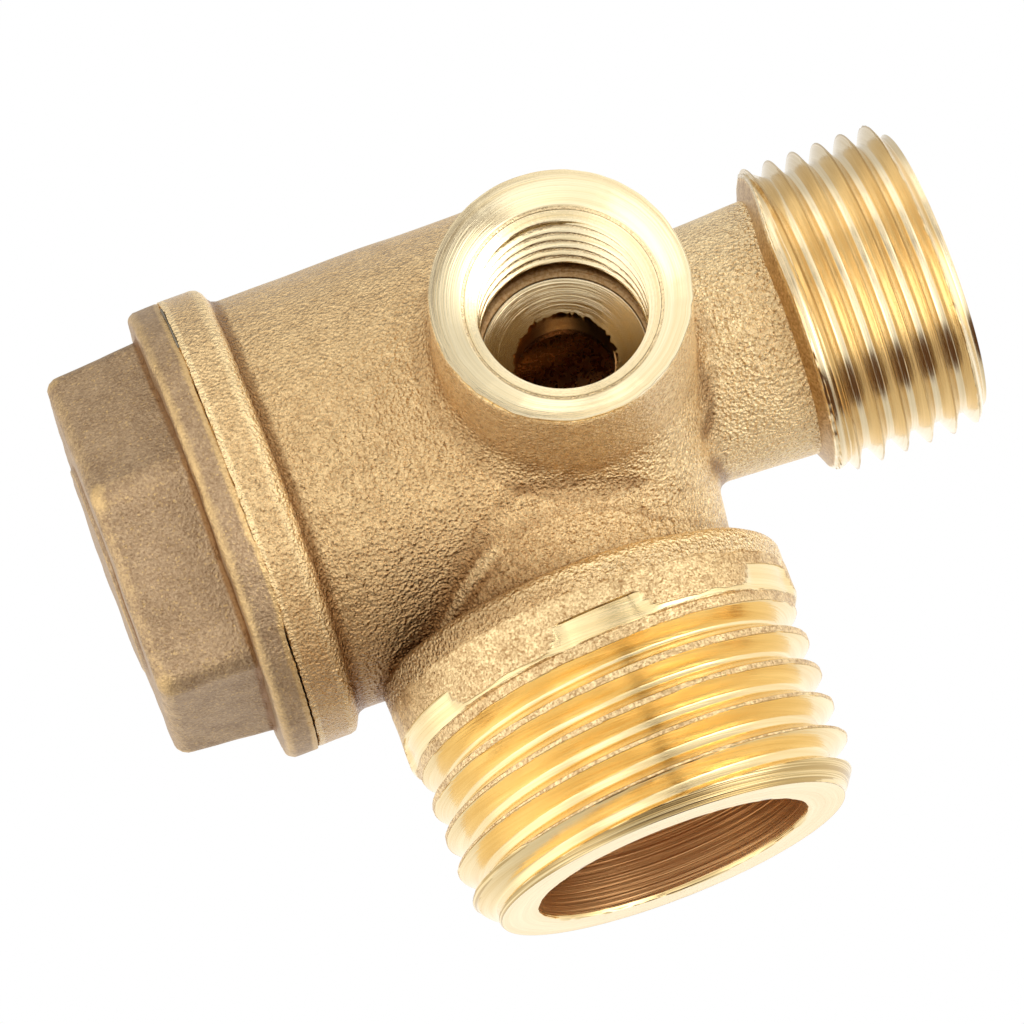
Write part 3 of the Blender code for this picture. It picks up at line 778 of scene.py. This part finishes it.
def forged_brass(colours, grain):
    """Shot-blasted brass: tan metal with a sparkling grain of dents and flecks whose coarseness
    changes over the body; the grain's speckled colour is partly its own, partly painted glints
    and shade in its pits. Paler towards the inlet and paler still on convex edges, for wear and a
    painted highlight, with painted shade in the creases and under the barrel. Inside the bores
    the metal is smooth, with a darker, redder colour painted there for their shade."""
    f = Finish("forged_brass")
    share = f.noise(0.006, 2.0).ramp(0.42, 0.62)
    fine = f.noise(0.00011, 2.0, 0.6)
    dent = f.cells(0.00019, "Distance")
    coarse = f.noise(0.00028, 1.0, 0.5, 0.4)
    fleck = f.cells(0.00014).ramp(0.25, 0.75)
    drilled = f.attribute("cut")
    height = (fine * 0.55 + dent * 0.5 + coarse * (0.25 + 0.75 * share)) * (1 - drilled)
    wear_and_highlight = f.attribute("wear_and_highlight")
    tone = f.noise(0.0011, 3.0, 0.65)
    # Speckled colour of the grain: partly its own, partly painted glints and shade in its pits
    shade = (tone * 0.3 + fleck * 0.12 + fine * 0.4 + coarse * 0.2).ramp(0.22, 0.66)
    along, up = f.coordinate(0), f.coordinate(2)
    # Paler towards the inlet
    towards_inlet = along.ramp(-0.003, 0.009)
    pits = f.mix(towards_inlet, colours.forged_dark, colours.pale_dark)
    base = f.mix(shade, pits, f.mix(towards_inlet, colours.forged, colours.pale))
    # Paler on convex edges: wear, and a painted highlight
    base = f.mix(wear_and_highlight.ramp(0.2, 1.3) * 0.75, base, colours.wear_and_highlight)
    # Painted shade in the concave creases
    base = f.mix((0 - wear_and_highlight).ramp(0.3, 1.3) * 0.78, base, colours.painted_shade)
    # Painted shade on the underside of the barrel, towards the cap
    under = up.ramp(0.0195, 0.0145) * up.ramp(0.0115, 0.0135) * along.ramp(0.0, -0.006) * 0.65
    base = f.mix(under, base, colours.painted_shade)
    # Darker, redder colour painted inside the bores for their shade
    base = f.mix(drilled, base, colours.bore)
    return f.finish(base, 0.19 + 0.2 * fleck, f.bump(height, grain * 3.6))


def cap_brass(colours, grain):
    """Duller blasted brass of the cap: olive brown with a fine grain and painted golden glints,
    golden on its edges for wear and a painted highlight, with painted shade in its inner corners."""
    f = Finish("cap_brass")
    fine = f.noise(0.00011, 2.0, 0.6)
    dent = f.cells(0.0002, "Distance")
    fleck = f.cells(0.00012).ramp(0.3, 0.85)
    wear_and_highlight = f.attribute("wear_and_highlight")
    tone = f.noise(0.0014, 3.0, 0.7)
    shade = (tone * 0.4 + fine * 0.45 + fleck * 0.15).ramp(0.22, 0.72)
    base = f.mix(shade, colours.cap_dark, colours.cap)
    # Painted golden glints on single cells of the grain
    base = f.mix(f.cells(0.0001).ramp(0.75, 0.95) * 0.55, base, colours.rubbed_and_glint)
    # Golden edges: wear, and a painted highlight
    rub_and_highlight = (wear_and_highlight + tone * 1.2 + fleck * 0.5 - 1.2).ramp(0.45, 2.0) * 0.6
    base = f.mix(rub_and_highlight, base, colours.rubbed_and_glint)
    # Painted shade in the inner corners
    base = f.mix((0 - wear_and_highlight).ramp(0.9, 2.2) * 0.85, base, colours.painted_shade)
    normal = f.bump(fine * 0.6 + dent * 0.4, grain * 1.3)
    return f.finish(base, 0.44 - 0.12 * rub_and_highlight + 0.1 * fine, normal)


def machined_brass(name, bright, dark, colours, grain):
    """Turned brass: bright, with fine streaks round the axis, coarser on the chamfer and the cone,
    and with a redder colour painted in the tank bore for its shade. Where the tool didn't reach,
    cast skin as on the forging, and in the boss's undercut and grooves and under the inlet
    thread's first crest, painted shade."""
    f = Finish(name)
    marks = f.rings(0.00006, 0.005)
    broad = f.rings(0.0004, 0.02, 2.0)
    score = f.rings(0.00016, 0.012, 2.0)
    skin = f.noise(0.00012, 2.0, 0.6)
    fleck = f.cells(0.00013).ramp(0.25, 0.75)
    tone = f.noise(0.0012, 2.0, 0.6)
    met = f.attribute("cut")
    cut = met.ramp(0.1, 0.9)
    rough_cut = met.ramp(1.0, 2.0)
    drilled = met.ramp(2.0, 3.0)
    base = f.mix((marks * 0.45 + broad * 0.55).ramp(0.32, 0.62), dark, bright)
    base = f.mix(score.ramp(0.59, 0.47) * rough_cut * 0.85, base, colours.streak)
    # Redder colour painted in the tank bore for its shade
    base = f.mix(drilled * 0.85, base, colours.drilled)
    shade = (tone * 0.25 + skin * 0.6 + fleck * 0.15).ramp(0.32, 0.66)
    base = f.mix(cut, f.mix(shade, colours.forged_dark, colours.wear_and_highlight), base)
    # Negative marks get painted shade: the boss's undercut and thread roots and the inlet's
    # shoulder
    base = f.mix((0 - met).ramp(0.0, 0.8) * 0.75, base, colours.painted_shade)
    turning = f.bump(marks * 0.6 + broad * 0.4 + score * rough_cut * 2.0, 0.000018)
    cast = (skin * 0.6 + fleck * 0.2) * (1 - cut) * met.ramp(-0.6, 0.1)
    rough = cut * -0.23 + 0.36 + 0.05 * tone + 0.04 * rough_cut + 0.16 * drilled
    return f.finish(base, rough, f.bump(cast, grain * 1.6, turning))


def fibre(colours):
    """Brown-grey jointing fibre with sealant: matt, blotched and finely fuzzy."""
    f = Finish("gasket_fibre")
    tone = f.noise(0.0003, 3.0, 0.7)
    base = f.mix(tone, colours.gasket, (0.12, 0.105, 0.08))
    normal = f.bump(f.noise(0.00008, 2.0), 0.00002)
    return f.finish(base, 0.8 + 0.1 * tone, normal, metallic=0.0)


def turned_brass(colours):
    """Brass of the poppet: turned rings across its length and a slightly dull skin."""
    f = Finish("poppet_brass")
    inputs = {"W": f.coordinate(0), "Scale": 9000.0, "Detail": 3.0}
    rings = f.node("ShaderNodeTexNoise", {"noise_dimensions": "1D"}, inputs)
    tone = f.noise(0.002, 3.0)
    base = f.mix(tone, colours.machined_dark, colours.machined)
    return f.finish(base, 0.22 + 0.1 * tone, f.bump(rings, 0.00001))


def rubber():
    """Black nitrile rubber: nearly matt with a moulded bloom."""
    f = Finish("seal_rubber")
    tone = f.noise(0.0008, 3.0)
    base = f.mix(tone, (0.012, 0.012, 0.013), (0.035, 0.034, 0.033))
    normal = f.bump(f.noise(0.0001, 2.0), 0.00001)
    return f.finish(base, 0.5 + 0.2 * tone, normal, metallic=0.0)


def steel():
    """Drawn spring steel: grey, with light scratches."""
    f = Finish("spring_steel")
    tone = f.noise(0.0006, 3.0, 0.6, 1.0)
    base = f.mix(tone, (0.35, 0.34, 0.33), (0.62, 0.61, 0.60))
    return f.finish(base, 0.22 + 0.15 * tone, f.bump(f.noise(0.00009, 2.0), 0.000006))


def floor_white(colours):
    """Matt pale floor, seen only from above, that fades out round the object."""
    f = Finish("floor")
    base = f.mix(f.noise(0.02, 3.0), colours.floor, (0.80, 0.80, 0.80))
    behind = f.node("ShaderNodeNewGeometry", output="Backfacing")
    seen = f.node("ShaderNodeLightPath", output="Is Camera Ray")
    spot = f.node("ShaderNodeVectorMath", {"operation": "LENGTH"}, {0: f.place}, output="Value")
    clear = 1 - seen * (1 - behind) * (1 - spot.ramp(0.06, 0.2))
    matt = f.node("ShaderNodeBsdfDiffuse", None, {"Color": base})
    glass = f.node("ShaderNodeBsdfTransparent")
    both = f.node("ShaderNodeMixShader", None, {0: clear, 1: matt, 2: glass})
    f.node("ShaderNodeOutputMaterial", None, {"Surface": both})
    return f.material


def set_material(piece, material):
    """Gives a piece one material in every slot."""
    if not piece.data.materials:
        piece.data.materials.append(material)
    for slot in piece.material_slots:
        slot.material = material


# Settings that a user would change


def length(name, description, default, low=0.0005, high=0.003):
    return FloatProperty(
        name=name, description=description, default=default, min=low, max=high, precision=6,
        unit="LENGTH",
    )


def tint(name, description, default):
    return FloatVectorProperty(
        name=name, description=description, default=default, size=3, min=0.0, max=1.0,
        subtype="COLOR",
    )


class ValveSizes(bpy.types.PropertyGroup):
    tank_pitch: length("Tank thread pitch", "Distance between crests", 0.001814)
    tank_crest: length("Tank thread radius", "Radius at crests", 0.01048, 0.009, 0.0107)
    inlet_pitch: length("Inlet thread pitch", "Distance between crests", 0.001337)
    boss_pitch: length("Boss thread pitch", "Distance between grooves", 0.00119)
    grain: length("Grain", "Height of the blasted grain", 0.00006, 0.0, 0.0003)
    step: length("Mesh step", "Grid of the cast forms", 0.00028, 0.0002, 0.001)


class ValveColours(bpy.types.PropertyGroup):
    forged: tint("Forged", "Blasted brass of the body", (0.86, 0.615, 0.315))
    forged_dark: tint("Forged, darker", "Pits of its grain", (0.38, 0.215, 0.085))
    pale: tint("Neck", "Cleaner brass towards the inlet", (1.0, 0.79, 0.455))
    pale_dark: tint("Neck, darker", "Pits of its grain", (0.54, 0.335, 0.15))
    # Painted shade for creases, under the barrel and in the turned pieces' shaded places
    painted_shade: tint("Creases", "Brass in the inner corners", (0.25, 0.12, 0.04))
    # Darker, redder colour painted inside the forging's bores for their shade
    bore: tint("Bores", "Drilled brass inside the body", (0.50, 0.26, 0.10))
    cap: tint("Cap", "Dull brass of the cap", (0.56, 0.40, 0.24))
    cap_dark: tint("Cap, darker", "Pits of its grain", (0.22, 0.13, 0.065))
    # Golden of the cap's edges, also used for its painted glints and edge highlight
    rubbed_and_glint: tint("Cap, rubbed", "Edges of the cap", (0.74, 0.50, 0.21))
    # Paler colour of convex edges, for wear and a painted highlight; also the light colour of the
    # turned pieces' cast skin
    wear_and_highlight: tint("Worn edges", "Rubbed edges", (1.0, 0.76, 0.41))
    # The three tints of turned brass below are one material, tinted apart for how each piece is
    # lit: painted light
    machined: tint("Threads", "Turned brass of the threads", (0.93, 0.745, 0.415))
    machined_dark: tint("Threads, darker", "Their turning marks", (0.79, 0.575, 0.26))
    inlet: tint("Inlet thread", "Turned brass of the inlet", (0.92, 0.765, 0.50))
    inlet_dark: tint("Inlet thread, darker", "Its turning marks", (0.79, 0.60, 0.33))
    face: tint("Boss face", "Turned brass of the boss", (0.97, 0.84, 0.56))
    face_dark: tint("Boss face, darker", "Its turning marks", (0.84, 0.65, 0.34))
    streak: tint("Streaks", "Scored brass of chamfer and cone", (0.48, 0.32, 0.12))
    # Redder colour painted in the tank bore for its shade
    drilled: tint("Tank bore", "Drilled brass of the tank bore", (0.76, 0.45, 0.20))
    gasket: tint("Gasket", "Jointing fibre and sealant", (0.21, 0.175, 0.12))
    floor: tint("Floor", "Studio floor", (0.84, 0.84, 0.84))


# Operators, one for each piece or group of like pieces and one for the stage


class VALVE_OT_forging(bpy.types.Operator):
    """Add the forged body with its barrel, collars, necks, boss and bores"""

    bl_idname = "valve.forging"
    bl_label = "Forged body"

    def execute(self, context):
        sizes, colours = context.scene.valve_sizes, context.scene.valve_colours
        points, quads = contour(forging_field, *FORGING_ROOM, sizes.step / MM)
        wear_and_highlight = edge_convexity(forging_skin, points, 0.3)
        drilled = -forging_hollow(*points.T) > forging_skin(*points.T) + 0.01
        piece = make_piece("valve_forging", points, quads, {"wear_and_highlight": wear_and_highlight, "cut": drilled})
        set_material(piece, forged_brass(colours, sizes.grain))
        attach(piece, "housing")
        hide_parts("valve_body")
        return {"FINISHED"}


class VALVE_OT_turned_ends(bpy.types.Operator):
    """Add the machined ends of the body: tank thread, inlet thread and boss bore"""

    bl_idname = "valve.turned_ends"
    bl_label = "Turned ends"

    def execute(self, context):
        sizes, colours = context.scene.valve_sizes, context.scene.valve_colours
        tank = tank_thread(sizes.tank_pitch / MM, sizes.tank_crest / MM)
        inlet = inlet_thread(sizes.inlet_pitch / MM, INLET_CREST)
        boss = boss_seat(sizes.boss_pitch / MM)
        # One turned brass in three tints, set apart for how each piece is lit: painted light
        for piece, name, bright, dark in (
            (tank, "thread_brass", colours.machined, colours.machined_dark),
            (inlet, "inlet_brass", colours.inlet, colours.inlet_dark),
            (boss, "face_brass", colours.face, colours.face_dark),
        ):
            set_material(piece, machined_brass(name, bright, dark, colours, sizes.grain))
            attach(piece, "housing")
        return {"FINISHED"}


class VALVE_OT_cap(bpy.types.Operator):
    """Add the hexagon cap and the gasket in its joint"""

    bl_idname = "valve.cap"
    bl_label = "Hexagon cap and gasket"

    def execute(self, context):
        sizes, colours = context.scene.valve_sizes, context.scene.valve_colours
        points, quads = contour(cap_field, *CAP_ROOM, sizes.step / MM)
        wear_and_highlight = edge_convexity(cap_field, points, 0.35)
        cap = make_piece("cap_hexagon", points, quads, {"wear_and_highlight": wear_and_highlight})
        set_material(cap, cap_brass(colours, sizes.grain))
        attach(cap, "housing")
        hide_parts("hex_cap")
        gasket = joint_gasket()
        set_material(gasket, fibre(colours))
        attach(gasket, "housing")
        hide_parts("cap_gasket")
        return {"FINISHED"}


class VALVE_OT_inside(bpy.types.Operator):
    """Finish the poppet and its seal, and add the spring"""

    bl_idname = "valve.inside"
    bl_label = "Poppet, seal and spring"

    def execute(self, context):
        nodes = frame["nodes"]
        set_material(nodes["poppet"], turned_brass(context.scene.valve_colours))
        set_material(nodes["poppet_seal"], rubber())
        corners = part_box("return_spring")
        low, high = [(np.array(corner) - CROSSING) / MM for corner in corners]
        spring = coil_spring(low, high)
        set_material(spring, steel())
        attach(spring, "housing")
        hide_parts("return_spring")
        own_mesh(spring)
        return {"FINISHED"}


class VALVE_OT_stage(bpy.types.Operator):
    """Add the floor, the world, the lamps and the camera"""

    bl_idname = "valve.stage"
    bl_label = "Stage, light and camera"

    def execute(self, context):
        add_floor(context.scene.valve_colours)
        add_world()
        add_lamps()
        add_camera()
        context.scene.view_settings.view_transform = "Standard"
        return {"FINISHED"}


def add_floor(colours):
    """Disc of rings and spokes on the plane that the valve stands on."""
    spokes = 64
    angle = np.linspace(0, TURN, spokes, endpoint=False)
    radius = np.array([0.0001, 0.05, 0.1, 0.2, 0.4])[:, None]
    flat = np.stack([radius * np.cos(angle), radius * np.sin(angle), 0 * radius * angle], -1)
    index = np.arange(radius.size * spokes).reshape(-1, spokes)
    inner, outer = index[:-1], index[1:]
    quads = np.stack([inner, outer, np.roll(outer, -1, 1), np.roll(inner, -1, 1)], -1)
    mesh = bpy.data.meshes.new("floor")
    mesh.from_pydata(flat.reshape(-1, 3).tolist(), [], quads.reshape(-1, 4).tolist())
    floor = add_object("floor", mesh)
    set_material(floor, floor_white(colours))


# Light of the white tent. The brown opening, hole and screens in it have a direction from the
# valve and an outer and inner half angle in degrees, and the screens how much brighter or darker
# they are. The gap is a narrow band between two circles round one direction, lit ahead only.
TENT = 1.18
OPENING = ((0.12, -0.13, -0.98), 29, 17)
HOLE = ((0.14, -0.97, 0.20), 5.5, 3)
OPENING_COLOUR = (0.10, 0.045, 0.02)
GAP_ACROSS = (0.964, 0.267, 0.0)
GAP_AHEAD = ((0.250, -0.903, 0.350), 60, 40)
SCREENS = (
    ((0.74, -0.57, -0.37), 40, 8, 1.2),
    ((-0.80, -0.43, -0.40), 45, 10, 0.3),
    ((-0.10, 0.50, 0.86), 50, 20, -0.5),
    ((0.69, -0.70, 0.16), 40, 8, -0.35),
    ((0.0, -0.05, -1.0), 80, 30, -0.4),
    ((0.35, -0.80, -0.45), 38, 8, 0.4),
    ((-0.97, -0.05, 0.25), 38, 10, 0.4),
)


def add_world():
    """White studio: plain white to the camera, and to everything else a soft tent with a brown
    opening below, a narrow upright gap and a small hole ahead and a few paler and darker
    screens."""
    world = bpy.data.worlds.new("studio")
    bpy.context.scene.world = world
    nodes = Nodes(world)
    place = nodes.node("ShaderNodeTexCoord", output="Generated")

    def patch(way, outer, inner, gain):
        """A value that rises from 0 to the gain between two angles from a direction."""
        inputs = {0: place, 1: np.array(way) / np.linalg.norm(way)}
        near = nodes.node("ShaderNodeVectorMath", {"operation": "DOT_PRODUCT"}, inputs, "Value")
        low, high = math.cos(math.radians(outer)), math.cos(math.radians(inner))
        return near.ramp(low, high, gain, "SMOOTHSTEP")

    light = TENT
    for screen in SCREENS:
        light = light + patch(*screen)
    gap = patch(GAP_ACROSS, 93.6, 91.8, 1.0) + patch(GAP_ACROSS, 88.2, 86.4, -1.0)
    colour = nodes.mix(patch(*OPENING, 1.0), light, OPENING_COLOUR)
    colour = nodes.mix(gap * patch(*GAP_AHEAD, 0.95), colour, OPENING_COLOUR)
    colour = nodes.mix(patch(*HOLE, 0.7), colour, OPENING_COLOUR)
    seen = nodes.node("ShaderNodeLightPath", output="Is Camera Ray")
    colour = nodes.mix(seen, colour, (1.0, 1.0, 1.0))
    light = nodes.node("ShaderNodeBackground", None, {"Color": colour, "Strength": 1.0})
    nodes.node("ShaderNodeOutputWorld", None, {"Surface": light})


# Lamps, as direction from the valve, angle across in degrees and strength
LAMPS = (
    ("key", (0.74, -0.57, -0.37), 40, 0.42),
    ("side", (-0.78, -0.40, -0.47), 40, 0.20),
    ("front", (-0.41, -0.90, 0.15), 30, 0.16),
    ("top", (0.20, -0.55, 0.80), 30, 0.12),
)


def add_lamps():
    """Distant soft lamps from the two sides, the front and above."""
    for name, way, across, strength in LAMPS:
        data = bpy.data.lights.new(name, "SUN")
        data.energy = strength
        data.angle = math.radians(across)
        back = np.array(way) / np.linalg.norm(way)
        right = np.cross((0, 0, 1), back)
        right /= np.linalg.norm(right)
        add_object(name, data, (right, np.cross(back, right), back))


# Camera fitted to the photograph: its place, and its directions right, down and forward
CAMERA_LENS = 246.09
CAMERA_PLACE = np.array([-29.763, -345.905, -102.071])
CAMERA_RIGHT = np.array([0.936197, 0.021809, -0.350799])
CAMERA_DOWN = np.array([-0.342451, 0.281323, -0.896429])
CAMERA_FORWARD = np.array([0.079138, 0.959365, 0.270842])


def add_camera():
    """Camera at the photograph's place: below and in front of the valve, rolled 20 degrees."""
    data = bpy.data.cameras.new("camera")
    data.lens = CAMERA_LENS
    data.sensor_width = 36.0
    data.clip_start, data.clip_end = 0.01, 10.0
    axes = (CAMERA_RIGHT, -CAMERA_DOWN, -CAMERA_FORWARD)
    camera = add_object("camera", data, axes, CROSSING + MM * CAMERA_PLACE)
    bpy.context.scene.camera = camera


class VALVE_PT_panel(bpy.types.Panel):
    """Lists the steps that build the valve, with its sizes and colours"""

    bl_label = "Non-return valve"
    bl_idname = "VALVE_PT_panel"
    bl_space_type = "VIEW_3D"
    bl_region_type = "UI"
    bl_category = "Valve"

    def draw(self, context):
        column = self.layout.column(align=True)
        for step in STEPS:
            column.operator(step.bl_idname)
        for group in (context.scene.valve_sizes, context.scene.valve_colours):
            box = self.layout.box().column()
            for key in group.__annotations__:
                box.prop(group, key)


STEPS = (
    VALVE_OT_forging,
    VALVE_OT_turned_ends,
    VALVE_OT_cap,
    VALVE_OT_inside,
    VALVE_OT_stage,
)
CLASSES = (ValveSizes, ValveColours, *STEPS, VALVE_PT_panel)


def register():
    for item in CLASSES:
        bpy.utils.register_class(item)
    bpy.types.Scene.valve_sizes = PointerProperty(type=ValveSizes)
    bpy.types.Scene.valve_colours = PointerProperty(type=ValveColours)


def unregister():
    del bpy.types.Scene.valve_colours
    del bpy.types.Scene.valve_sizes
    for item in reversed(CLASSES):
        bpy.utils.unregister_class(item)


def main():
    """Builds the valve and its stage."""
    register()
    bpy.ops.valve.forging()
    bpy.ops.valve.turned_ends()
    bpy.ops.valve.cap()
    bpy.ops.valve.inside()
    bpy.ops.valve.stage()


if __name__ == "__main__":
    main()
